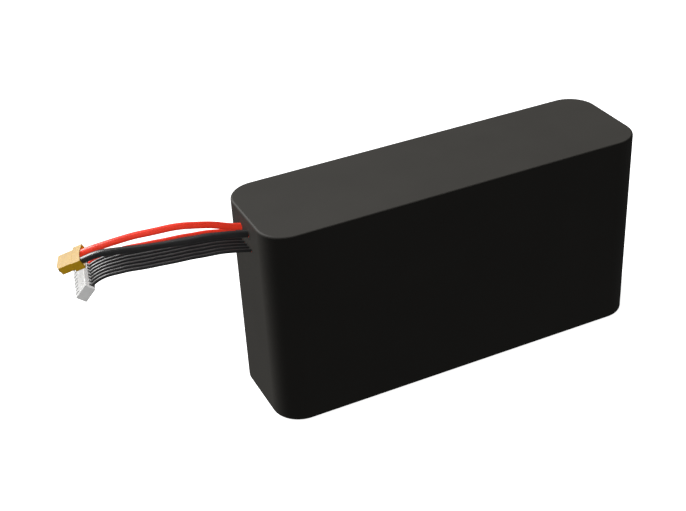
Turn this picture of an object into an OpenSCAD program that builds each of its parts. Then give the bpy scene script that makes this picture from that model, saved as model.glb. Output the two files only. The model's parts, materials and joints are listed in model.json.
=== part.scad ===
// Rectangular lithium-polymer battery pack: seven flat pouch cells standing side by side in a
// moulded case under a black film sleeve. The two power leads and the flat balance ribbon come
// out of the -X end, near the top.
// Frame: origin at the centre of the bottom face, +X along the length towards the closed end,
// +Z up. All sizes are in millimetres.

/* [Pack] */
// Length of the pack
pack_l = 210; // [150:1:300]
// Width of the pack
pack_w = 60; // [50:1:90]
// Height of the pack
pack_h = 108; // [90:1:150]
// Radius of the four upright corners
corner_r = 15; // [10:0.5:20]
// Rounding of the top and bottom edges
edge_r = 1.2; // [0.6:0.1:3]

/* [Case] */
// Thickness of the film sleeve
sleeve_t = 0.5; // [0.3:0.05:1]
// Wall of the moulded case
case_t = 1.6; // [1:0.1:3]
// Gap between pieces that fit together
fit_gap = 0.1; // [0.05:0.05:0.3]
// Depth of the lid's locating lip
lip_h = 3; // [2:0.5:5]
// Thickness of the lid's locating lip
lip_t = 1.2; // [0.8:0.1:2]

/* [Cells] */
// Number of cells in series
cell_n = 7; // [3:1:7]
// Thickness of the pads between the cells
pad_t = 0.5; // [0.3:0.1:1]
// Thickness of the stiffening board on each side of the stack
board_t = 1; // [0.6:0.1:1.6]
// Thickness of the foam above, below and behind the cells
foam_t = 2; // [1:0.5:4]
// Space at the lead end for the tabs and the tab board
head_l = 22; // [20:1:40]
// Rounding of the pouch's long edges
pouch_r = 2; // [1:0.25:2.5]
// Length of the flat sealed strip that the tabs come out of
seal_l = 6; // [4:0.5:10]
// Thickness of the sealed strip
seal_t = 0.4; // [0.2:0.05:0.8]
// How far the pads, boards and sealed strips stay inside the pouches' outline
stack_in = 4; // [2:0.5:6]
// Width of a tab
tab_w = 20; // [10:1:30]
// Thickness of a tab
tab_t = 0.2; // [0.1:0.05:0.4]
// Height of each tab's middle above and below the middle of the cell
tab_z = 22; // [16:1:30]
// Free length of a tab between the sealed strip and the board
tab_l = 4; // [3:0.5:8]
// Length of a tab's bent end on its copper link
tab_foot = 3; // [2:0.5:3.5]

/* [Tab board] */
// Thickness of the circuit board that joins the tabs
pcb_t = 1.6; // [0.8:0.2:2.4]
// Thickness of the copper links on the board
link_t = 0.4; // [0.2:0.1:0.8]
// How far a link reaches past its tabs, and how far its ends stay inside their width
link_in = 1; // [0.5:0.5:2]
// Space left at each side of the board
board_side = 3; // [2:0.5:5]
// Gap between the board and the insulating sheet
sheet_gap = 2; // [1:0.5:4]
// Thickness of the insulating sheet over the board
sheet_t = 0.3; // [0.2:0.1:0.6]

/* [Power leads] */
// Outer diameter of a power lead
power_d = 3.5; // [2.5:0.1:5]
// Radial space left round a lead in the end wall
bush_gap = 0.05; // [0.05:0.05:0.2]
// Rubber left round the leads in the bushing
bush_wall = 1.6; // [1:0.1:3]

/* [Balance wires] */
// Outer diameter of a balance wire
sense_d = 1.7; // [1.2:0.1:2]
// Spacing of the balance wires where they leave the pack
sense_pitch = 3; // [2.2:0.1:3.2]
// Rubber left round the wires in the bushing
sense_wall = 1; // [0.6:0.1:2]

/* [Power plug] */
// Length of the plug's rear collar
collar_l = 5; // [3:0.5:8]
// Wall round the hollow back of the collar
collar_wall = 0.6; // [0.4:0.1:0.8]
// Depth of the hollow back
collar_cup = 3.2; // [2:0.2:4]
// Space past the leads at each side of the hollow back
cup_side = 0.7; // [0.3:0.1:1.5]
// Space above and below the leads in the hollow back
cup_top = 0.3; // [0.2:0.1:1]
// Width of the nose
nose_w = 9.6; // [9.2:0.1:12]
// Thickness of the nose
nose_h = 4.4; // [4:0.1:6]
// Length of the nose
nose_l = 8.3; // [6:0.1:12]
// Chamfer of the nose's front corner on the positive side
nose_cut = 0.5; // [0.3:0.1:1]
// Length of the larger chamfer that marks the negative side
key_l = 1.1; // [0.8:0.1:1.6]
// Width of that chamfer
key_w = 2.2; // [1.4:0.1:2.6]
// Depth of the shallow scoop in the collar's rear edge
scoop = 0.8; // [0.4:0.1:1.2]
// Depth that the leads go into the collar
lead_seat = 2.5; // [1:0.1:3]
// Spacing of the two poles
pole_pitch = 5.5; // [5:0.1:6]
// Bore of a socket, for a 2 mm pin
socket_bore = 2; // [1.8:0.1:2.1]
// Outer diameter of a socket
socket_d = 2.8; // [2.6:0.1:3]
// Depth of the socket's bore
socket_depth = 8; // [5:0.5:9]

/* [Balance plug] */
// Spacing of the contacts
contact_pitch = 2.5; // [2.5:0.04:2.54]
// Housing past the outermost contact
housing_end = 2.25; // [1.8:0.05:3]
// Thickness of the housing
housing_h = 5.6; // [5:0.1:7]
// Length of the housing, from the wires to the mating end
housing_l = 8.6; // [7:0.1:12]
// Side of a contact's square cavity
cavity = 1.8; // [1.5:0.05:2]
// Side of a contact's body
contact = 1.5; // [1:0.05:1.6]
// Depth of the notches along the mating edge of the housing's face
notch_h = 0.9; // [0.4:0.1:1]
// Length of the notches
notch_l = 3; // [1:0.2:4]
// Width of the notches
notch_w = 1; // [0.6:0.1:1.4]
// Space at each side of a wire in the openings of the housing's back
throat_side = 0.125; // [0.05:0.025:0.2]
// Height of these openings
throat_h = 3; // [2.4:0.1:3.4]
// Depth of these openings
throat_l = 2.4; // [2:0.1:3]
// Depth that the wires go into the housing
wire_seat = 1.5; // [0.5:0.1:2]

/* [Hidden] */
$fn = 48;
side = 8;                                    // sides of a lead's tube
outside = pack_l / 2;                        // half length of the pack
hollow = [pack_l - 2*sleeve_t, pack_w - 2*sleeve_t, pack_h - 2*sleeve_t];
tub = [for (s = hollow) s - 2*fit_gap];      // outer size of the case
inner = [tub[0] - 2*case_t, tub[1] - 2*case_t, tub[2] - 2*case_t];
floor_z = sleeve_t + fit_gap + case_t;       // top of the case's floor
tub_r = corner_r - sleeve_t - fit_gap;
inner_r = tub_r - case_t;
lip = lip_t + 2*fit_gap;                     // room that the lid's lip takes from the walls

// The stack of cells, measured across the pack
slot = (inner[1] - 2*fit_gap - 2*board_t - (cell_n - 1)*pad_t) / cell_n;
cell_t = slot - fit_gap;                     // thickness of one pouch
pitch_y = slot + pad_t;                      // from one cell to the next
cell_x0 = -inner[0]/2 + head_l;              // front of the pouches
stack_half = inner[1]/2 - fit_gap - board_t; // half width of the stack inside the boards
stack_over = max(0, stack_half - inner[1]/2 + inner_r);      // how far it reaches into a round corner
corner_x = inner[0]/2 - inner_r;             // where the case's round corners start
cell_x1 = corner_x + sqrt(inner_r*inner_r - stack_over*stack_over) - 2*fit_gap;  // back of the pouches
cell_l = cell_x1 - cell_x0;
cell_z0 = floor_z + foam_t + fit_gap;
cell_h = inner[2] - lip_h - 2*foam_t - 3*fit_gap;
cell_mid = cell_z0 + cell_h/2;
pad_h = cell_h - 2*stack_in;                 // height of the pads and boards

// The tab board, in front of the cells
seal_x = cell_x0 - seal_l;                   // front of the sealed strips
board_x = seal_x - tab_l;                    // face that the tabs are welded on
board_w = inner[1] - 2*board_side;
board_h = cell_h + foam_t;

// Where the leads leave the end wall
end_x = -outside;
lead_origin = [end_x, 0, pack_h];
power_exit = [[6, -9], [-3, -8.5]];          // positive, negative: across, below the top
sense_exit = [5, -16.5];                     // middle of the ribbon
sense_n = cell_n + 1;

// Routes, from the end wall: x past the wall, y across the pack, z below the top face
positive_route = [
    [0, 6, -9], [-4, 6, -8], [-8, 6, -6.5], [-13, 6.5, -4.5], [-18, 6.5, -3], [-23, 7, -2],
    [-28, 7.5, -1], [-33, 8, -0.5], [-39, 8.5, -0.5], [-45, 9, -0.5], [-51, 10, -0.5],
    [-57, 10.5, -1], [-63, 11, -1.5], [-69, 12, -2.5]];
negative_route = [
    [0, -3, -8.5], [-4, -3, -7.5], [-8, -2.5, -6.5], [-13, -2, -6], [-18, -1.5, -5.5],
    [-23, -1, -5], [-29, -0.5, -5], [-35, 0.5, -4.5], [-41, 1.5, -4.5], [-47, 2, -4],
    [-53, 3, -3.5], [-59, 4, -3], [-65, 5, -2.5], [-71, 6.5, -2.5]];
// The middle of the ribbon, and the spacing of its wires there
ribbon_route = [
    [0, 5, -16.5], [-3, 5, -15.5], [-7, 5, -14.5], [-12, 5.5, -13.5], [-17, 6, -13],
    [-22, 6.5, -13], [-27, 7, -12.5], [-32, 7.5, -12.5], [-37, 8, -12.5], [-42, 9, -12.5],
    [-47, 9.5, -12.5], [-52, 10.5, -12.5], [-57, 11.5, -12.5], [-61.5, 12, -13],
    [-65.5, 13, -13.5], [-69, 13.5, -14.5]];
ribbon_pitch = [3, 3, 3.1, 3.1, 3.1, 3.1, 3.1, 3.1, 3.1, 3.1, 3.1, 3.1, 3, 2.9, 2.8, 2.7];
ribbon_turn = [0, 0, 0, 0, 2, 4, 6, 6, 8, 8, 10, 10, 12, 12, 12, 12];

// Places of the plugs: the middle of each one's back, from the end wall, and its turn
power_plug_at = [-76, 11, -4.5];
power_plug_turn = [-12, 23, 153];
balance_plug_at = [-74.5, 14.5, -16.5];
balance_plug_turn = [-9.5, 51.5, 160];
wire_drop = -1;                              // the wires' height in the balance plug's back

function turned(p, a) = let (
    q = [p[0], p[1]*cos(a[0]) - p[2]*sin(a[0]), p[1]*sin(a[0]) + p[2]*cos(a[0])],
    r = [q[0]*cos(a[1]) + q[2]*sin(a[1]), q[1], q[2]*cos(a[1]) - q[0]*sin(a[1])])
    [r[0]*cos(a[2]) - r[1]*sin(a[2]), r[0]*sin(a[2]) + r[1]*cos(a[2]), r[2]];
function in_power_plug(p) = power_plug_at + turned(p, power_plug_turn);
function in_balance_plug(p) = balance_plug_at + turned(p, balance_plug_turn);

// Both power leads run straight into the plug's back over their last stretch
function power_lead(route, pole) = concat(route, [
    in_power_plug([-2.5, pole, 0]), in_power_plug([lead_seat, pole, 0])]);
function balance_wire_route(k) = let (off = k - (sense_n - 1)/2) concat(
    [for (i = [0 : len(ribbon_route) - 1]) ribbon_route[i] + off*ribbon_pitch[i]
        * [-sin(ribbon_turn[i]), -cos(ribbon_turn[i]), 0]],
    [in_balance_plug([-1.6, off*contact_pitch, wire_drop]),
     in_balance_plug([wire_seat, off*contact_pitch, wire_drop])]);

function unit(v) = v / norm(v);
function heading(path, i) = unit(path[min(i + 1, len(path) - 1)] - path[max(i - 1, 0)]);
function ring(path, r, i) = let (
    t = i == 0 ? [-1, 0, 0] : heading(path, i), u = unit(cross(t, [0, 0, 1])), v = cross(t, u))
    [for (a = [0 : side - 1]) path[i] + r*(u*cos(a*360/side) + v*sin(a*360/side))];

// ---- shapes that repeat

// Flat outline of a rectangle with round corners
module round_rect(l, w, r) {
    square([l - 2*r, w], center = true);
    square([l, w - 2*r], center = true);
    for (x = [-1, 1], y = [-1, 1]) translate([x*(l/2 - r), y*(w/2 - r)]) circle(r);
}

// Upright block with round corners, and a small rounding on its top and bottom edges
module round_block(l, w, h, r, e) {
    for (turn = [0 : 3], x = turn % 3 == 0 ? 1 : -1, y = turn < 2 ? 1 : -1)
        translate([x*(l/2 - r), y*(w/2 - r), h/2]) rotate(90*turn)
            rotate_extrude(angle = 90) intersection() {
                round_rect(2*r, h, e);
                translate([0, -h/2]) square([r, h]);
            }
    translate([-l/2 + r, 0, h/2]) rotate([90, 0, 90]) linear_extrude(l - 2*r) round_rect(w, h, e);
    translate([0, w/2 - r, h/2]) rotate([90, 0, 0]) linear_extrude(w - 2*r) round_rect(l, h, e);
}

// Bar along X with nearly half-round sides
module slot_bar(x0, x1, y, z, w, h) {
    translate([x0, y, z]) rotate([90, 0, 90]) linear_extrude(x1 - x0) round_rect(w, h, 0.499*h);
}

// Round bar along X
module bar(x0, x1, y, z, d) {
    translate([x0, y, z]) rotate([0, 90, 0]) cylinder(d = d, h = x1 - x0);
}

// Plain tube along a route given from the end wall
module tube(path, d) {
    n = len(path);
    points = [for (i = [0 : n - 1]) each [for (p = ring(path, d/2, i)) p + lead_origin]];
    faces = concat(
        [[for (a = [0 : side - 1]) a]],
        [for (i = [0 : n - 2], a = [0 : side - 1]) let (b = (a + 1) % side)
            each [[i*side + a, (i + 1)*side + a, (i + 1)*side + b],
                  [i*side + a, (i + 1)*side + b, i*side + b]]],
        [[for (a = [side - 1 : -1 : 0]) (n - 1)*side + a]]);
    polyhedron(points, faces);
}

// ---- ways through the end wall

bush_in = -outside + sleeve_t + fit_gap + case_t;       // inner face of the end wall
power_mid = [(power_exit[0][0] + power_exit[1][0])/2, pack_h + (power_exit[0][1] + power_exit[1][1])/2];
power_span = power_exit[0][0] - power_exit[1][0];
power_bush = [power_span + power_d + 2*bush_wall, power_d + 2*bush_wall];
sense_bush = [(sense_n - 1)*sense_pitch + sense_d + 2*sense_wall, sense_d + 2*sense_wall];
rim_t = 1.2;                                            // thickness of the bushings' rims
rim = 0.6;                                              // height of the rims
rim_gap = 0.15;                                         // gap between the rims and the end wall
// The ribbon's rim reaches across into the case's round corner, which stands further in than the wall
rim_over = max(0, sense_exit[0] + sense_bush[0]/2 + rim - inner[1]/2 + inner_r);
rim_x = bush_in + inner_r - sqrt(inner_r*inner_r - rim_over*rim_over) + rim_gap;

module power_way(x0, x1, grow) {
    slot_bar(x0, x1, power_mid[0], power_mid[1], power_bush[0] + 2*grow, power_bush[1] + 2*grow);
}

module sense_way(x0, x1, grow) {
    slot_bar(x0, x1, sense_exit[0], pack_h + sense_exit[1], sense_bush[0] + 2*grow, sense_bush[1] + 2*grow);
}

module lead_bars(x0, x1, grow) {
    for (p = power_exit) bar(x0, x1, p[0], pack_h + p[1], power_d + 2*grow);
    for (k = [0 : sense_n - 1]) let (y = sense_exit[0] + (k - (sense_n - 1)/2)*sense_pitch)
        bar(x0, x1, y, pack_h + sense_exit[1], sense_d + 2*grow);
}

// ---- the pack

module sleeve() {
    color("#1c1b1a") difference() {
        round_block(pack_l, pack_w, pack_h, corner_r, edge_r);
        translate([0, 0, sleeve_t]) linear_extrude(hollow[2])
            round_rect(hollow[0], hollow[1], corner_r - sleeve_t);
        power_way(-outside - 1, -outside + corner_r/2, fit_gap);
        sense_way(-outside - 1, -outside + corner_r/2, fit_gap);
    }
}

module case_tub() {
    wall_top = tub[2] - case_t - fit_gap;
    color("#2b2b2e") difference() {
        translate([0, 0, sleeve_t + fit_gap]) linear_extrude(wall_top) round_rect(tub[0], tub[1], tub_r);
        translate([0, 0, floor_z]) linear_extrude(tub[2]) round_rect(inner[0], inner[1], inner_r);
        power_way(-outside - 1, -outside + corner_r/2, fit_gap);
        sense_way(-outside - 1, -outside + corner_r/2, fit_gap);
    }
}

module case_lid() {
    top = sleeve_t + fit_gap + tub[2];
    color("#34343a") {
        translate([0, 0, top - case_t]) linear_extrude(case_t) round_rect(tub[0], tub[1], tub_r);
        difference() {
            translate([0, 0, top - case_t - lip_h]) linear_extrude(lip_h)
                round_rect(inner[0] - 2*fit_gap, inner[1] - 2*fit_gap, inner_r - fit_gap);
            translate([0, 0, top - case_t - lip_h - 1]) linear_extrude(lip_h + 1)
                round_rect(inner[0] - 2*lip, inner[1] - 2*lip, inner_r - lip);
            power_way(-outside, rim_x + rim_t + fit_gap, rim + 2*fit_gap);
        }
    }
}

// Middle of cell i across the pack
function cell_y(i) = (i - (cell_n + 1)/2) * pitch_y;
// Cells stand alternately with the positive tab up and down
function way_up(i) = i % 2 == 1 ? 1 : -1;

module cell(i) {
    color("#b9bcc0") translate([0, cell_y(i), 0]) {
        translate([cell_x0, 0, cell_mid]) rotate([90, 0, 90]) linear_extrude(cell_l)
            round_rect(cell_t, cell_h, pouch_r);
        translate([seal_x, -seal_t/2, cell_mid - pad_h/2]) cube([seal_l + cell_t/2, seal_t, pad_h]);
    }
}

module cell_pad(i) {
    color("#e6e1d2") translate([cell_x0 + stack_in, cell_y(i) + (cell_t + fit_gap)/2, cell_mid - pad_h/2])
        cube([cell_l - 2*stack_in, pad_t, pad_h]);
}

module stiffener(way) {
    y = way*(inner[1]/2 - fit_gap - board_t/2);
    color("#2f6b4a") translate([cell_x0, y - board_t/2, cell_mid - pad_h/2])
        cube([corner_x - cell_x0, board_t, pad_h]);
}

module foam_slab(z) {
    w = inner[1] - 2*stack_in;
    color("#4a4a50") translate([cell_x0, -w/2, z]) cube([cell_l, w, foam_t]);
}

module end_foam() {
    color("#4a4a50") translate([cell_x1 + fit_gap, -inner[1]/2 + inner_r, cell_mid - pad_h/2])
        cube([inner[0]/2 - cell_x1 - 2*fit_gap, inner[1] - 2*inner_r, pad_h]);
}

// Strip from the sealed edge to the board, bent flat onto the copper link there
module tab(i, way, shade) {
    z = cell_mid + way*tab_z - tab_w/2;
    foot_x = board_x + link_t;
    color(shade) translate([0, cell_y(i), z]) {
        translate([foot_x + tab_t, -tab_t/2, 0]) cube([seal_x - foot_x - tab_t, tab_t, tab_w]);
        translate([foot_x, -tab_t/2, 0]) cube([tab_t, tab_foot, tab_w]);
    }
}

module tab_board() {
    color("#1f5c3c") translate([board_x - pcb_t, -board_w/2, cell_z0]) cube([pcb_t, board_w, board_h]);
}

// Copper strips on the board, each joining one cell's negative tab to the next one's positive
module series_links() {
    color("#c77b4a") for (i = [0 : cell_n]) {
        way = way_up(i + 1);
        y0 = i == 0 ? cell_y(1) : cell_y(i);
        y1 = i == cell_n ? cell_y(cell_n) : cell_y(i + 1);
        translate([board_x, y0 - link_in, cell_mid + way*tab_z - tab_w/2 + link_in])
            cube([link_t, y1 - y0 + tab_foot + link_in, tab_w - 2*link_in]);
    }
}

sheet_x = board_x - pcb_t - sheet_gap - sheet_t;

module insulating_sheet() {
    color("#d8c9a0") difference() {
        translate([sheet_x, -board_w/2, cell_z0]) cube([sheet_t, board_w, board_h]);
        lead_bars(sheet_x - 1, sheet_x + sheet_t + 1, bush_gap);
    }
}

// The bushings fill their holes flush with the pack's outline and have a rim inside the wall
module bushing() {
    color("#202022") difference() {
        intersection() {
            linear_extrude(pack_h) round_rect(pack_l, pack_w, corner_r);
            children();
        }
        lead_bars(-outside - 1, rim_x + rim_t + 1, bush_gap);
    }
}

module power_bushing() {
    bushing() {
        union() {
            power_way(-outside, rim_x, 0);
            power_way(rim_x, rim_x + rim_t, rim);
        }
    }
}

module balance_bushing() {
    bushing() {
        union() {
            sense_way(-outside, rim_x, 0);
            sense_way(rim_x, rim_x + rim_t, rim);
        }
    }
}

// The ends of the leads inside the case, from the end wall to the board
module lead_tails() {
    color("#8a2a22") lead_bars(-outside, board_x - pcb_t, 0);
}

// ---- leads and plugs

module positive_lead() {
    color("#e63c2d") tube(power_lead(positive_route, -pole_pitch/2), power_d);
}

module negative_lead() {
    color("#1d1d1f") tube(power_lead(negative_route, pole_pitch/2), power_d);
}

module balance_wire(k) {
    color(k == 0 ? "#e03a2c" : "#222224") tube(balance_wire_route(k), sense_d);
}

module at_power_plug() {
    translate(lead_origin + power_plug_at) rotate(power_plug_turn) children();
}

module at_balance_plug() {
    translate(lead_origin + balance_plug_at) rotate(balance_plug_turn) children();
}

// Housing with a wide hollow collar round the leads and a narrower nose round the sockets
collar_w = pole_pitch + power_d + 2*(cup_side + collar_wall);
collar_h = power_d + 2*(cup_top + collar_wall);
plug_front = collar_l + nose_l;
scoop_r = (pow(collar_w/2 - 2*collar_wall, 2) + scoop*scoop) / (2*scoop);

module power_plug() {
    color("#e2b04a") at_power_plug() difference() {
        union() {
            translate([0, -collar_w/2, -collar_h/2]) cube([collar_l, collar_w, collar_h]);
            translate([0, 0, -nose_h/2]) linear_extrude(nose_h) polygon([
                [collar_cup, -nose_w/2], [plug_front - nose_cut, -nose_w/2],
                [plug_front, -nose_w/2 + nose_cut], [plug_front, nose_w/2 - key_w],
                [plug_front - key_l, nose_w/2], [collar_cup, nose_w/2]]);
        }
        translate([-1, -collar_w/2 + collar_wall, -collar_h/2 + collar_wall])
            cube([collar_cup + 1, collar_w - 2*collar_wall, collar_h - 2*collar_wall]);
        translate([scoop - scoop_r, 0, -collar_h]) cylinder(r = scoop_r, h = 2*collar_h);
        for (s = [-1, 1]) bar(0, plug_front + 1, s*pole_pitch/2, 0, socket_d + 2*bush_gap);
    }
}

socket_in = 0.4;                             // the sockets end this far inside the nose

// Round contact: a solder end in the plug's back and a bore for the pin in front
module socket(way) {
    front = plug_front - socket_in;
    color("#d9a92f") at_power_plug() difference() {
        bar(lead_seat, front, way*pole_pitch/2, 0, socket_d);
        bar(front - socket_depth, front + 1, way*pole_pitch/2, 0, socket_bore);
    }
}

// Places of the contacts along the balance plug's row
module each_contact() {
    for (k = [0 : sense_n - 1]) translate([0, (k - (sense_n - 1)/2)*contact_pitch, 0]) children();
}

module balance_plug() {
    long = (sense_n - 1)*contact_pitch + 2*housing_end;
    throat_w = sense_d + 2*throat_side;
    color("#e8e8e6") at_balance_plug() difference() {
        translate([0, -long/2, -housing_h/2]) cube([housing_l, long, housing_h]);
        each_contact() {
            translate([-1, -throat_w/2, wire_drop - throat_h/2]) cube([throat_l + 1, throat_w, throat_h]);
            translate([throat_l - 1, -cavity/2, wire_drop - cavity/2]) cube([housing_l, cavity, cavity]);
            translate([housing_l - notch_l, -notch_w/2, housing_h/2 - notch_h])
                cube([notch_l + 1, notch_w, notch_h + 1]);
        }
    }
}

contact_in = 0.5;                            // the contacts end this far inside the housing
pin_way = 0.9;                               // side of the square hole for the charger's pin
crimp_end = throat_l + 0.4;                  // end of the crimp round the wire

module balance_contacts() {
    color("#c9ccd0") at_balance_plug() each_contact() translate([0, 0, wire_drop]) {
        bar(wire_seat, crimp_end, 0, 0, contact);
        difference() {
            translate([throat_l, -contact/2, -contact/2])
                cube([housing_l - contact_in - throat_l, contact, contact]);
            translate([crimp_end + 1, -pin_way/2, -pin_way/2]) cube([housing_l, pin_way, pin_way]);
        }
    }
}

// ---- one node at a time, or everything

sleeve();
case_tub();
case_lid();
for (i = [1 : cell_n]) {
    cell(i);
    tab(i, way_up(i), "#c9cdd2");
    tab(i, -way_up(i), "#b98a5e");
}
for (i = [1 : cell_n - 1])
    cell_pad(i);
stiffener(-1);  // side_board_front
stiffener(1);  // side_board_back
foam_slab(cell_z0 + cell_h + fit_gap);  // top_foam
foam_slab(floor_z);  // bottom_foam
end_foam();
tab_board();
series_links();
insulating_sheet();
power_bushing();
balance_bushing();
lead_tails();
positive_lead();
negative_lead();
for (k = [1 : sense_n])
    balance_wire(k - 1);
power_plug();
socket(-1);  // positive_socket
socket(1);  // negative_socket
balance_plug();
balance_contacts();
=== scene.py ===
import bmesh
import bpy
import json
import math
from mathutils import Matrix, Vector


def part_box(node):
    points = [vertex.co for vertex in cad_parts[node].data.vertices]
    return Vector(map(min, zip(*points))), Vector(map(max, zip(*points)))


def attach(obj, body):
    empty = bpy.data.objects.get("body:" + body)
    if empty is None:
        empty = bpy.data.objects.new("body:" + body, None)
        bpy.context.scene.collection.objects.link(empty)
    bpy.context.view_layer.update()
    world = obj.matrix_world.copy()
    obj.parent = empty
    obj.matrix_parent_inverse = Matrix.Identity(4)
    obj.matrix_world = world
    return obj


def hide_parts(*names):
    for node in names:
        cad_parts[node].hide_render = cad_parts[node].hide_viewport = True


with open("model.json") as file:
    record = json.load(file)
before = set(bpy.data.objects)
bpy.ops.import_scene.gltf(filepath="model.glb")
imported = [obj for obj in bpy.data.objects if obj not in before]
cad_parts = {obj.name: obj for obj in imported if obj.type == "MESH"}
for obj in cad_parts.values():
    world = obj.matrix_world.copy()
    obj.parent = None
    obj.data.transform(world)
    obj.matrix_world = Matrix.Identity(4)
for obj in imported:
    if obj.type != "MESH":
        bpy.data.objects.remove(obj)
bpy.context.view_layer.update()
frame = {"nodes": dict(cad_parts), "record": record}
nodes = frame["nodes"]
millimetre = 0.001
sharpAngle = math.radians(35)  # edges sharper than this stay crisp
level = 1e-7  # metres within which two heights are the same
nearlyHalf = 0.499  # share of a bar's height in a round end, short of the half where its edges would meet
overshoot = 1  # plug millimetres, about how far a cutter stands past the face that it opens

# Camera

view = {"place": (-0.2769, -0.5039, 0.4150), "turn": (57.869, 2.83, -25.5685), "lens": 67.63, "sensor": 36.0}


def addCamera(s):
    data = bpy.data.cameras.new("camera")
    data.lens = s["lens"]
    data.sensor_width = s["sensor"]
    data.clip_start = 0.01
    data.clip_end = 20
    cam = bpy.data.objects.new("camera", data)
    cam.location = s["place"]
    cam.rotation_euler = [math.radians(a) for a in s["turn"]]
    bpy.context.scene.collection.objects.link(cam)
    bpy.context.scene.camera = cam


addCamera(view)
print("camera ready")

# Materials


def newMaterial(name):
    mat = bpy.data.materials.new(name)
    mat.use_nodes = True
    tree = mat.node_tree
    return mat, tree, tree.nodes["Principled BSDF"]


def addNode(tree, kind, **values):
    node = tree.nodes.new(kind)
    for key, value in values.items():
        if key in node.inputs:
            node.inputs[key].default_value = value
        else:
            setattr(node, key, value)
    return node


# Noise on the piece's own coordinates; scale is in cells per metre
def noiseAt(tree, scale, detail=3.0, stretch=(1, 1, 1)):
    where = addNode(tree, "ShaderNodeTexCoord")
    place = addNode(tree, "ShaderNodeMapping")
    place.inputs["Scale"].default_value = stretch
    noise = addNode(tree, "ShaderNodeTexNoise")
    noise.inputs["Scale"].default_value = scale
    noise.inputs["Detail"].default_value = detail
    tree.links.new(where.outputs["Object"], place.inputs["Vector"])
    tree.links.new(place.outputs["Vector"], noise.inputs["Vector"])
    return noise.outputs["Fac"]


def rampOf(tree, value, dark, light, low=0.3, high=0.7):
    ramp = addNode(tree, "ShaderNodeValToRGB")
    ramp.color_ramp.elements[0].position = low
    ramp.color_ramp.elements[0].color = (*dark, 1)
    ramp.color_ramp.elements[1].position = high
    ramp.color_ramp.elements[1].color = (*light, 1)
    tree.links.new(value, ramp.inputs["Fac"])
    return ramp.outputs["Color"]


def rangeOf(tree, value, low, high):
    span = addNode(tree, "ShaderNodeMapRange")
    span.inputs["To Min"].default_value = low
    span.inputs["To Max"].default_value = high
    tree.links.new(value, span.inputs["Value"])
    return span.outputs["Result"]


def bumpOf(tree, height, strength, distance):
    bump = addNode(tree, "ShaderNodeBump")
    bump.inputs["Strength"].default_value = strength
    bump.inputs["Distance"].default_value = distance
    tree.links.new(height, bump.inputs["Height"])
    return bump.outputs["Normal"]


# A moulded or drawn surface: two close tones, uneven gloss and a fine grain
def plasticOf(name, s):
    mat, tree, shader = newMaterial(name)
    tone = noiseAt(tree, s["toneScale"], 4.0, s.get("stretch", (1, 1, 1)))
    tree.links.new(rampOf(tree, tone, s["dark"], s["light"]), shader.inputs["Base Color"])
    gloss = noiseAt(tree, s["glossScale"], 3.0, s.get("stretch", (1, 1, 1)))
    tree.links.new(rangeOf(tree, gloss, *s["rough"]), shader.inputs["Roughness"])
    grain = noiseAt(tree, s["grainScale"], 2.0, s.get("stretch", (1, 1, 1)))
    tree.links.new(bumpOf(tree, grain, s["grain"], s["depth"]), shader.inputs["Normal"])
    shader.inputs["Metallic"].default_value = s.get("metal", 0.0)
    shader.inputs["Specular IOR Level"].default_value = s.get("specular", 0.5)
    return mat


sleeveFinish = {"dark": (0.047, 0.0444, 0.0396), "light": (0.052, 0.0492, 0.0438), "toneScale": 28,
                "glossScale": 60, "rough": (0.58, 0.66), "grainScale": 2600, "grain": 0.25,
                "depth": 0.00005, "specular": 0.26}
redFinish = {"dark": (0.86, 0.036, 0.014), "light": (0.94, 0.050, 0.022), "toneScale": 160,
             "glossScale": 400, "rough": (0.38, 0.44), "grainScale": 3000, "grain": 0.06,
             "depth": 0.00002, "specular": 0.5}
blackFinish = {"dark": (0.006, 0.006, 0.0065), "light": (0.010, 0.010, 0.0105), "toneScale": 160,
               "glossScale": 400, "rough": (0.38, 0.44), "grainScale": 3000, "grain": 0.06,
               "depth": 0.00002, "specular": 1.0}
amberFinish = {"dark": (0.345, 0.193, 0.002), "light": (0.40, 0.23, 0.005), "toneScale": 260,
               "glossScale": 500, "rough": (0.4, 0.48), "grainScale": 4000, "grain": 0.3,
               "depth": 0.00004, "specular": 0.38}
whiteFinish = {"dark": (0.53, 0.53, 0.525), "light": (0.59, 0.59, 0.585), "toneScale": 260,
               "glossScale": 500, "rough": (0.34, 0.44), "grainScale": 4000, "grain": 0.2,
               "depth": 0.00003, "specular": 0.5}
caseFinish = {"dark": (0.020, 0.020, 0.022), "light": (0.028, 0.028, 0.030), "toneScale": 60,
              "glossScale": 120, "rough": (0.5, 0.6), "grainScale": 1500, "grain": 0.5, "depth": 0.0001}
pouchFinish = {"dark": (0.50, 0.51, 0.53), "light": (0.60, 0.61, 0.63), "toneScale": 30,
               "glossScale": 90, "rough": (0.32, 0.5), "grainScale": 400, "grain": 0.35,
               "depth": 0.0002, "metal": 0.9}
padFinish = {"dark": (0.70, 0.66, 0.54), "light": (0.82, 0.78, 0.66), "toneScale": 200,
             "glossScale": 200, "rough": (0.8, 0.9), "grainScale": 1500, "grain": 0.6, "depth": 0.0002}
boardFinish = {"dark": (0.03, 0.15, 0.08), "light": (0.05, 0.21, 0.11), "toneScale": 900,
               "glossScale": 300, "rough": (0.3, 0.45), "grainScale": 1400, "grain": 0.4, "depth": 0.0001}
foamFinish = {"dark": (0.045, 0.045, 0.05), "light": (0.08, 0.08, 0.09), "toneScale": 700,
              "glossScale": 300, "rough": (0.85, 0.95), "grainScale": 1200, "grain": 0.8, "depth": 0.0003}
brightFinish = {"dark": (0.70, 0.71, 0.73), "light": (0.80, 0.81, 0.83), "toneScale": 100,
                "glossScale": 300, "rough": (0.22, 0.34), "grainScale": 900, "grain": 0.3,
                "depth": 0.00005, "metal": 1.0, "stretch": (1, 1, 0.1)}
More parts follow.
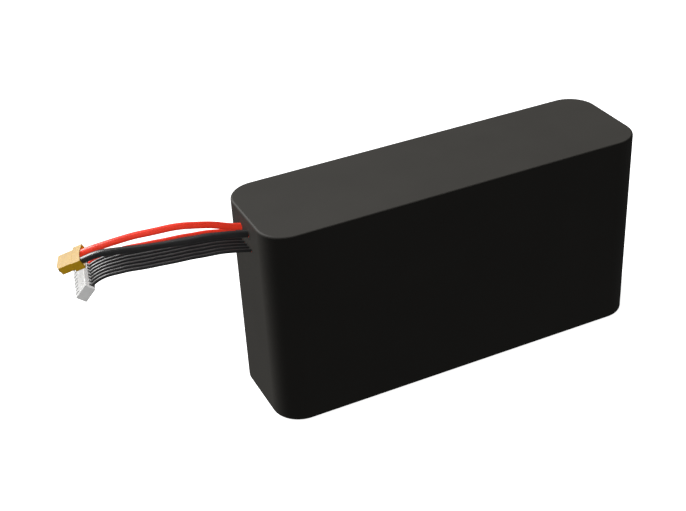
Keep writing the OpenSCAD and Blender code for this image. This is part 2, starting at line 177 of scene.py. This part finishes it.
copperFinish = dict(brightFinish, dark=(0.62, 0.30, 0.16), light=(0.74, 0.40, 0.24))
tabFinish = dict(brightFinish, dark=(0.60, 0.45, 0.33), light=(0.70, 0.55, 0.42))
paperFinish = {"dark": (0.52, 0.42, 0.24), "light": (0.62, 0.52, 0.32), "toneScale": 300,
               "glossScale": 300, "rough": (0.7, 0.85), "grainScale": 1200, "grain": 0.5, "depth": 0.0001}
rubberFinish = dict(sleeveFinish, dark=(0.036, 0.034, 0.030), light=(0.042, 0.040, 0.035), toneScale=200)
goldFinish = dict(brightFinish, dark=(0.80, 0.55, 0.18), light=(0.90, 0.66, 0.26), stretch=(1, 1, 1))
tinFinish = dict(brightFinish, dark=(0.62, 0.63, 0.64), light=(0.74, 0.75, 0.76), stretch=(1, 1, 1))

sleeveMaterial = plasticOf("sleeveFilm", sleeveFinish)
redMaterial = plasticOf("redSilicone", redFinish)
blackMaterial = plasticOf("blackSilicone", blackFinish)
amberMaterial = plasticOf("amberNylon", amberFinish)
whiteMaterial = plasticOf("whiteNylon", whiteFinish)
goldMaterial = plasticOf("goldPlate", goldFinish)
tinMaterial = plasticOf("tinPlate", tinFinish)
print("materials ready")

# Routes and plug places, the same as the solid model's

packLow, packHigh = (Vector(c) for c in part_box("sleeve"))
leadOrigin = Vector((packLow.x, 0, packHigh.z))

# Routes in millimetres from the end wall, the pack's middle plane and its top face
routes = {
    "positive": [
        (0, 6, -9), (-4, 6, -8), (-8, 6, -6.5), (-13, 6.5, -4.5), (-18, 6.5, -3), (-23, 7, -2),
        (-28, 7.5, -1), (-33, 8, -0.5), (-39, 8.5, -0.5), (-45, 9, -0.5), (-51, 10, -0.5),
        (-57, 10.5, -1), (-63, 11, -1.5), (-69, 12, -2.5)],
    "negative": [
        (0, -3, -8.5), (-4, -3, -7.5), (-8, -2.5, -6.5), (-13, -2, -6), (-18, -1.5, -5.5),
        (-23, -1, -5), (-29, -0.5, -5), (-35, 0.5, -4.5), (-41, 1.5, -4.5), (-47, 2, -4),
        (-53, 3, -3.5), (-59, 4, -3), (-65, 5, -2.5), (-71, 6.5, -2.5)],
    "ribbon": [
        (0, 5, -16.5), (-3, 5, -15.5), (-7, 5, -14.5), (-12, 5.5, -13.5), (-17, 6, -13),
        (-22, 6.5, -13), (-27, 7, -12.5), (-32, 7.5, -12.5), (-37, 8, -12.5), (-42, 9, -12.5),
        (-47, 9.5, -12.5), (-52, 10.5, -12.5), (-57, 11.5, -12.5), (-61.5, 12, -13),
        (-65.5, 13, -13.5), (-69, 13.5, -14.5)],
    "ribbonPitch": [3, 3, 3.1, 3.1, 3.1, 3.1, 3.1, 3.1, 3.1, 3.1, 3.1, 3.1, 3, 2.9, 2.8, 2.7],
    "ribbonTurn": [0, 0, 0, 0, 2, 4, 6, 6, 8, 8, 10, 10, 12, 12, 12, 12],
}
# A lead runs straight for its last stretch, from runIn behind the plug's back to seat inside it
powerPlug = {"at": (-76, 11, -4.5), "turn": (-12, 23, 153), "polePitch": 5.5, "runIn": -2.5, "seat": 2.5}
balancePlug = {"at": (-74.5, 14.5, -16.5), "turn": (-9.5, 51.5, 160), "pitch": 2.5, "drop": -1.0,
               "runIn": -1.6, "seat": 1.5, "wires": 8}
leadSizes = {"power": 3.5, "balance": 1.7}
leadPieces = [nodes[name] for name in ("positive_socket", "negative_socket", "balance_contacts")]


# From a plug's own millimetres, +X towards its mating end, to the pack's frame
def plugPlace(plug):
    turn = Matrix.Identity(4)
    for angle, axis in zip(plug["turn"], "XYZ"):
        turn = Matrix.Rotation(math.radians(angle), 4, axis) @ turn
    shift = Matrix.Translation(leadOrigin + Vector(plug["at"]) * millimetre)
    return shift @ turn @ Matrix.Scale(millimetre, 4)


def onRoute(point):
    return leadOrigin + Vector(point) * millimetre


def powerRoute(points, pole):
    place = plugPlace(powerPlug)
    ends = [place @ Vector((x, pole, 0)) for x in (powerPlug["runIn"], powerPlug["seat"])]
    return [onRoute(p) for p in points] + ends


def balanceRoute(index):
    off = index - (balancePlug["wires"] - 1) / 2
    points = []
    for middle, pitch, turn in zip(routes["ribbon"], routes["ribbonPitch"], routes["ribbonTurn"]):
        row = Vector((-math.sin(math.radians(turn)), -math.cos(math.radians(turn)), 0))
        points.append(onRoute(Vector(middle) + row * off * pitch))
    place = plugPlace(balancePlug)
    ends = [place @ Vector((x, off * balancePlug["pitch"], balancePlug["drop"]))
            for x in (balancePlug["runIn"], balancePlug["seat"])]
    return points + ends


def makeLead(name, points, diameter, material, node):
    data = bpy.data.curves.new(name, "CURVE")
    data.dimensions = "3D"
    line = data.splines.new("NURBS")
    line.points.add(len(points) - 1)
    for spot, point in zip(line.points, points):
        spot.co = (*point, 1)
    line.order_u = 4
    line.use_endpoint_u = True
    data.resolution_u = 5
    data.bevel_depth = diameter * millimetre / 2
    data.bevel_resolution = 5
    data.use_fill_caps = True
    lead = bpy.data.objects.new(name, data)
    bpy.context.scene.collection.objects.link(lead)
    data.materials.append(material)
    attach(lead, "root")
    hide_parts(node)
    leadPieces.append(lead)


# Sleeve

sleeve = {"cornerRadius": 15.0, "edgeRadius": 1.2, "cornerSteps": 24, "edgeSteps": 5, "wall": 0.5,
          "gap": 0.1, "rim": 0.6, "slotSteps": 10, "slotDepth": 9.0,
          "widths": {"power_bushing": 15.7, "balance_bushing": 24.7},
          "middles": {"power_bushing": 1.5, "balance_bushing": 5.0}}


# A piece from its finished mesh, in place of the node's solid
def finishPiece(name, mesh, material, node):
    mesh.name = name
    mesh.shade_smooth()
    mesh.set_sharp_from_angle(angle=sharpAngle)
    obj = bpy.data.objects.new(name, mesh)
    bpy.context.scene.collection.objects.link(obj)
    mesh.materials.append(material)
    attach(obj, "root")
    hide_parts(node)
    obj.modifiers.new("evenShading", "WEIGHTED_NORMAL").keep_sharp = True
    return obj


def roundedBlock(size, radius, edge, cornerSteps, edgeSteps):
    bm = bmesh.new()
    bmesh.ops.create_cube(bm, size=1)
    bmesh.ops.scale(bm, vec=size, verts=bm.verts)
    upright = [e for e in bm.edges if abs(e.verts[0].co.z - e.verts[1].co.z) > size[2] / 2]
    bmesh.ops.bevel(bm, geom=upright, offset=radius, segments=cornerSteps, profile=0.5,
                    affect="EDGES", material=-1)
    rims = [e for e in bm.edges if abs(abs(e.verts[0].co.z) - size[2] / 2) < level
            and abs(e.verts[0].co.z - e.verts[1].co.z) < level]
    bmesh.ops.bevel(bm, geom=rims, offset=edge, segments=edgeSteps, profile=0.5, affect="EDGES",
                    material=-1)
    return bm


def blockObject(name, low, high, radius, edge, cornerSteps, edgeSteps):
    bm = roundedBlock(high - low, radius, edge, cornerSteps, edgeSteps)
    bmesh.ops.translate(bm, vec=(low + high) / 2, verts=bm.verts)
    mesh = bpy.data.meshes.new(name)
    bm.to_mesh(mesh)
    bm.free()
    return bpy.data.objects.new(name, mesh)


# Mesh of body with every cutter taken out of it; the cutters are deleted
def cutAway(body, cutters):
    for cutter in cutters:
        bpy.context.scene.collection.objects.link(cutter)
        cut = body.modifiers.new(cutter.name, "BOOLEAN")
        cut.operation = "DIFFERENCE"
        cut.solver = "EXACT"
        cut.object = cutter
    bpy.context.view_layer.update()
    mesh = bpy.data.meshes.new_from_object(body.evaluated_get(bpy.context.evaluated_depsgraph_get()))
    body.modifiers.clear()
    for cutter in cutters:
        bpy.data.objects.remove(cutter)
    return mesh


# Bar with round ends through the end wall, a gap larger all round than the bushing in it
def slotCutter(node, s):
    low, high = (Vector(c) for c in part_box(node))
    rim = s["rim"] * millimetre
    height = high.z - low.z - 2 * rim + 2 * s["gap"] * millimetre
    width = s["widths"][node] * millimetre + 2 * s["gap"] * millimetre
    middle = Vector((packLow.x, s["middles"][node] * millimetre, (low.z + high.z) / 2))
    size = (2 * s["slotDepth"] * millimetre, width, height)
    bm = bmesh.new()
    bmesh.ops.create_cube(bm, size=1)
    bmesh.ops.scale(bm, vec=size, verts=bm.verts)
    along = [e for e in bm.edges if abs(e.verts[0].co.x - e.verts[1].co.x) > size[0] / 2]
    bmesh.ops.bevel(bm, geom=along, offset=height * nearlyHalf, segments=s["slotSteps"], profile=0.5,
                    affect="EDGES", material=-1)
    bmesh.ops.translate(bm, vec=middle, verts=bm.verts)
    mesh = bpy.data.meshes.new(node + "Cutter")
    bm.to_mesh(mesh)
    bm.free()
    return bpy.data.objects.new(node + "Cutter", mesh)


def makeSleeve(s):
    wall = Vector((1, 1, 1)) * s["wall"] * millimetre
    radius = s["cornerRadius"] * millimetre
    film = blockObject("film", packLow, packHigh, radius, s["edgeRadius"] * millimetre, s["cornerSteps"],
                       s["edgeSteps"])
    room = blockObject("room", packLow + wall, packHigh - wall, radius - wall.x,
                       (s["edgeRadius"] - s["wall"]) * millimetre, s["cornerSteps"], s["edgeSteps"])
    bpy.context.scene.collection.objects.link(film)
    mesh = cutAway(film, [room] + [slotCutter(node, s) for node in s["widths"]])
    bpy.data.objects.remove(film)
    finishPiece("sleeveFilm", mesh, sleeveMaterial, "sleeve")


makeSleeve(sleeve)
print("sleeve ready")

# Plugs, each built in its own millimetres with +X towards its mating end

powerHousing = {"collar": (5.0, 11.6, 5.3), "nose": (8.3, 9.6, 4.4), "wall": 0.6, "cup": 3.2, "cupEdge": 0.5,
                "keyCut": (1.1, 2.2), "plainCut": 0.5, "scoop": 0.8, "bore": 2.9, "edge": 0.25}
balanceHousing = {"length": 8.6, "end": 2.25, "height": 5.6, "edge": 0.3, "throat": (2.4, 1.95, 3.0),
                  "cavity": 1.8, "notch": (3.0, 1.0, 0.9),
                  "gate": {"place": (1.6, 7.4), "outer": 1.25, "inner": 0.85, "depth": 0.12, "foot": 0.5}}


def addBox(bm, low, high):
    made = bmesh.ops.create_cube(bm, size=1)["verts"]
    low, high = Vector(low), Vector(high)
    bmesh.ops.scale(bm, vec=high - low, verts=made)
    bmesh.ops.translate(bm, vec=(low + high) / 2, verts=made)


# Cylinder from start along +Z, or turned first
def addRod(bm, radius, start, length, turn=None, segments=32):
    made = bmesh.ops.create_cone(bm, cap_ends=True, segments=segments, radius1=radius, radius2=radius,
                                 depth=length)["verts"]
    bmesh.ops.translate(bm, vec=(0, 0, length / 2), verts=made)
    if turn:
        bmesh.ops.rotate(bm, cent=(0, 0, 0), matrix=turn, verts=made)
    bmesh.ops.translate(bm, vec=start, verts=made)


def solidFrom(name, bm, edge=0.0, steps=3):
    if edge:
        bmesh.ops.bevel(bm, geom=bm.edges, offset=edge, segments=steps, profile=0.5, affect="EDGES",
                        material=-1)
    bmesh.ops.recalc_face_normals(bm, faces=bm.faces)
    mesh = bpy.data.meshes.new(name)
    bm.to_mesh(mesh)
    bm.free()
    return bpy.data.objects.new(name, mesh)


def joinSolids(body, other):
    bpy.context.scene.collection.objects.link(other)
    join = body.modifiers.new("join", "BOOLEAN")
    join.operation = "UNION"
    join.solver = "EXACT"
    join.object = other
    bpy.context.view_layer.update()
    mesh = bpy.data.meshes.new_from_object(body.evaluated_get(bpy.context.evaluated_depsgraph_get()))
    body.modifiers.clear()
    body.data = mesh
    bpy.data.objects.remove(other)


def placePlug(name, mesh, plug, material, node):
    mesh.transform(plugPlace(plug))
    leadPieces.append(finishPiece(name, mesh, material, node))


alongX = Matrix.Rotation(math.radians(90), 3, "Y")


def makePowerHousing(s):
    collarL, collarW, collarH = s["collar"]
    noseL, noseW, noseH = s["nose"]
    front = collarL + noseL
    keyL, keyW = s["keyCut"]
    bm = bmesh.new()
    addBox(bm, (0, -collarW / 2, -collarH / 2), (collarL, collarW / 2, collarH / 2))
    housing = solidFrom("housing", bm, s["edge"])
    bpy.context.scene.collection.objects.link(housing)
    bm = bmesh.new()
    plain = s["plainCut"]
    outline = [(s["cup"], -noseW / 2), (front - plain, -noseW / 2), (front, -noseW / 2 + plain),
               (front, noseW / 2 - keyW), (front - keyL, noseW / 2), (s["cup"], noseW / 2)]
    face = bm.faces.new([bm.verts.new((x, y, -noseH / 2)) for x, y in outline])
    raised = bmesh.ops.extrude_face_region(bm, geom=[face])["geom"]
    corners = [v for v in raised if isinstance(v, bmesh.types.BMVert)]
    bmesh.ops.translate(bm, vec=(0, 0, noseH), verts=corners)
    joinSolids(housing, solidFrom("nose", bm, s["edge"]))
    wall = s["wall"]
    bm = bmesh.new()
    halfW, halfH = collarW / 2 - wall, collarH / 2 - wall
    addBox(bm, (-overshoot, -halfW, -halfH), (s["cup"], halfW, halfH))
    along = [e for e in bm.edges if abs(e.verts[0].co.x - e.verts[1].co.x) > 1]
    bmesh.ops.bevel(bm, geom=along, offset=s["cupEdge"], segments=4, profile=0.5, affect="EDGES",
                    material=-1)
    cup = solidFrom("cup", bm)
    bm = bmesh.new()
    half = collarW / 2 - 2 * wall
    radius = (half ** 2 + s["scoop"] ** 2) / (2 * s["scoop"])
    addRod(bm, radius, (s["scoop"] - radius, 0, -collarH), 2 * collarH, segments=128)
    scoop = solidFrom("scoop", bm)
    bm = bmesh.new()
    for side in (-1, 1):
        addRod(bm, s["bore"] / 2, (-overshoot, side * powerPlug["polePitch"] / 2, 0),
               front + 2 * overshoot, alongX)
    mesh = cutAway(housing, [cup, scoop, solidFrom("bores", bm)])
    bpy.data.objects.remove(housing)
    placePlug("powerHousing", mesh, powerPlug, amberMaterial, "power_plug")


def makeBalanceHousing(s):
    rows = [(k - (balancePlug["wires"] - 1) / 2) * balancePlug["pitch"] for k in range(balancePlug["wires"])]
    half = rows[-1] + s["end"]
    top = s["height"] / 2
    bm = bmesh.new()
    addBox(bm, (0, -half, -top), (s["length"], half, top))
    housing = solidFrom("housing", bm, s["edge"])
    bpy.context.scene.collection.objects.link(housing)
    throats, cavities, marks, gate = bmesh.new(), bmesh.new(), bmesh.new(), bmesh.new()
    throatL, throatW, throatH = s["throat"]
    notchL, notchW, notchH = s["notch"]
    drop, cavity = balancePlug["drop"], s["cavity"]
    for y in rows:
        addBox(throats, (-overshoot, y - throatW / 2, drop - throatH / 2),
               (throatL, y + throatW / 2, drop + throatH / 2))
        addBox(cavities, (throatL - overshoot, y - cavity / 2, drop - cavity / 2),
               (s["length"] + overshoot, y + cavity / 2, drop + cavity / 2))
        addBox(marks, (s["length"] - notchL, y - notchW / 2, top - notchH),
               (s["length"] + overshoot, y + notchW / 2, top + overshoot))
    mark = s["gate"]
    addRod(gate, mark["outer"], (*mark["place"], top - mark["depth"]), overshoot)
    disc = bmesh.new()
    addRod(disc, mark["inner"], (*mark["place"], top - mark["foot"]), mark["foot"])
    mesh = cutAway(housing, [solidFrom(n, b) for n, b in (("throats", throats), ("cavities", cavities),
                                                          ("marks", marks), ("gate", gate))])
    housing.data = mesh
    joinSolids(housing, solidFrom("disc", disc))
    mesh = housing.data
    bpy.data.objects.remove(housing)
    placePlug("balanceHousing", mesh, balancePlug, whiteMaterial, "balance_plug")


makePowerHousing(powerHousing)
makeBalanceHousing(balanceHousing)
print("plugs ready")

# Leads and balance wires, once the plugs that they carry are there

makeLead("positiveLead", powerRoute(routes["positive"], -powerPlug["polePitch"] / 2), leadSizes["power"],
         redMaterial, "positive_lead")
makeLead("negativeLead", powerRoute(routes["negative"], powerPlug["polePitch"] / 2), leadSizes["power"],
         blackMaterial, "negative_lead")
for index in range(balancePlug["wires"]):
    isRed = index == 0
    makeLead(f"balanceWire{index + 1}", balanceRoute(index), leadSizes["balance"],
             redMaterial if isRed else blackMaterial, f"balance_wire_{index + 1}")
print("leads ready")

# Everything else keeps its solid and gets its finish

finishes = {
    "case": caseFinish, "pouch": pouchFinish, "pad": padFinish, "board": boardFinish, "foam": foamFinish,
    "positive_tab": brightFinish, "negative_tab": tabFinish, "copper": copperFinish, "sheet": paperFinish,
    "bushing": rubberFinish,
}
ready = {"gold": goldMaterial, "tin": tinMaterial, "yellow_plug": amberMaterial, "white_plug": whiteMaterial,
         "red_lead": redMaterial, "black_lead": blackMaterial, "lead_tail": redMaterial,
         "sleeve": sleeveMaterial}
for slotName, values in finishes.items():
    ready[slotName] = plasticOf(slotName + "Finish", values)
for part in frame["record"]["subparts"]:
    mesh = nodes[part["node"]].data
    mesh.materials.clear()
    mesh.materials.append(ready[part["material_slot"]])
print("finishes ready")

# Floor, backdrop and lights

studio = {"floorSize": 4.0, "floor": (0.86, 0.86, 0.86), "floorRough": 0.9, "glow": 0.96, "backdrop": 1.0,
          "fill": 0.098}
keyLamp = {"from": (-0.43, 0.65, 0.62), "strength": 4.1, "spread": 30.0}
whitePlug = ["balanceHousing"]
leadLamps = [
    {"name": "nearSideLamp", "place": (-0.60, -1.00, 0.22), "power": 8.6, "size": 1.0, "diffuse": True,
     "gloss": False},
    {"name": "upperLamp", "place": (-0.65, -0.15, 1.00), "power": 5.0, "size": 1.0, "diffuse": True,
     "gloss": False},
    {"name": "sheenLamp", "place": (-0.55, 0.35, 0.95), "power": 9.5, "size": 0.5, "diffuse": False,
     "gloss": True},
    {"name": "plugBackLamp", "place": (0.35, 0.15, 1.00), "power": 8.5, "size": 0.6, "diffuse": True,
     "gloss": False, "only": whitePlug},
]


def makeFloor(s):
    bm = bmesh.new()
    bmesh.ops.create_grid(bm, x_segments=1, y_segments=1, size=s["floorSize"])
    mesh = bpy.data.meshes.new("floor")
    bm.to_mesh(mesh)
    bm.free()
    floor = bpy.data.objects.new("floor", mesh)
    bpy.context.scene.collection.objects.link(floor)
    mat, tree, shader = newMaterial("paleFloor")
    shader.inputs["Base Color"].default_value = (*s["floor"], 1)
    shader.inputs["Roughness"].default_value = s["floorRough"]
    shader.inputs["Specular IOR Level"].default_value = 0.0
    shader.inputs["Emission Color"].default_value = (1, 1, 1, 1)
    shader.inputs["Emission Strength"].default_value = s["glow"]  # keeps the shadow on it faint
    mesh.materials.append(mat)
    floor.visible_diffuse = False  # so that it doesn't light the pack's dark side
    floor.visible_glossy = False


def makeWorld(s):
    world = bpy.data.worlds.new("studio")
    world.use_nodes = True
    tree = world.node_tree
    fill = tree.nodes["Background"]
    fill.inputs["Color"].default_value = (1, 1, 1, 1)
    fill.inputs["Strength"].default_value = s["fill"]
    seen = addNode(tree, "ShaderNodeBackground", Color=(1, 1, 1, 1), Strength=s["backdrop"])
    choose = addNode(tree, "ShaderNodeMixShader")
    path = addNode(tree, "ShaderNodeLightPath")
    tree.links.new(path.outputs["Is Camera Ray"], choose.inputs["Fac"])
    tree.links.new(fill.outputs["Background"], choose.inputs[1])
    tree.links.new(seen.outputs["Background"], choose.inputs[2])
    tree.links.new(choose.outputs["Shader"], tree.nodes["World Output"].inputs["Surface"])
    bpy.context.scene.world = world


def addLamp(name, kind, place, towards):
    data = bpy.data.lights.new(name, kind)
    lamp = bpy.data.objects.new(name, data)
    lamp.location = place
    lamp.rotation_euler = (Vector(towards) - Vector(place)).to_track_quat("-Z", "Y").to_euler()
    bpy.context.scene.collection.objects.link(lamp)
    return lamp


def groupOf(name, pieceNames):
    group = bpy.data.collections.new(name)
    for pieceName in pieceNames:
        group.objects.link(bpy.data.objects[pieceName])
    return group


# A wide soft source far off, behind the pack on the leads' side; the leads cast no shadow in it
def makeKeyLamp(s):
    lamp = addLamp("keyLamp", "SUN", s["from"], (0, 0, 0))
    lamp.data.energy = s["strength"]
    lamp.data.angle = math.radians(s["spread"])
    lamp.light_linking.blocker_collection = groupOf("keyBlockers", ["sleeveFilm", *whitePlug])


# Fills that light the leads and plugs alone; only the white plug casts a shadow in them
def makeLeadLamps(lamps):
    for s in lamps:
        lamp = addLamp(s["name"], "AREA", s["place"], onRoute(powerPlug["at"]))
        lamp.data.size = s["size"]
        lamp.data.energy = s["power"]
        lamp.visible_diffuse = s["diffuse"]
        lamp.visible_glossy = s["gloss"]
        lit = s.get("only", [piece.name for piece in leadPieces])
        lamp.light_linking.receiver_collection = groupOf(s["name"] + "Lights", lit)
        lamp.light_linking.blocker_collection = groupOf(s["name"] + "Blockers", whitePlug)


makeFloor(studio)
makeWorld(studio)
makeKeyLamp(keyLamp)
makeLeadLamps(leadLamps)
bpy.context.scene.view_settings.view_transform = "Standard"
print("studio ready")

bpy.context.view_layer.update()
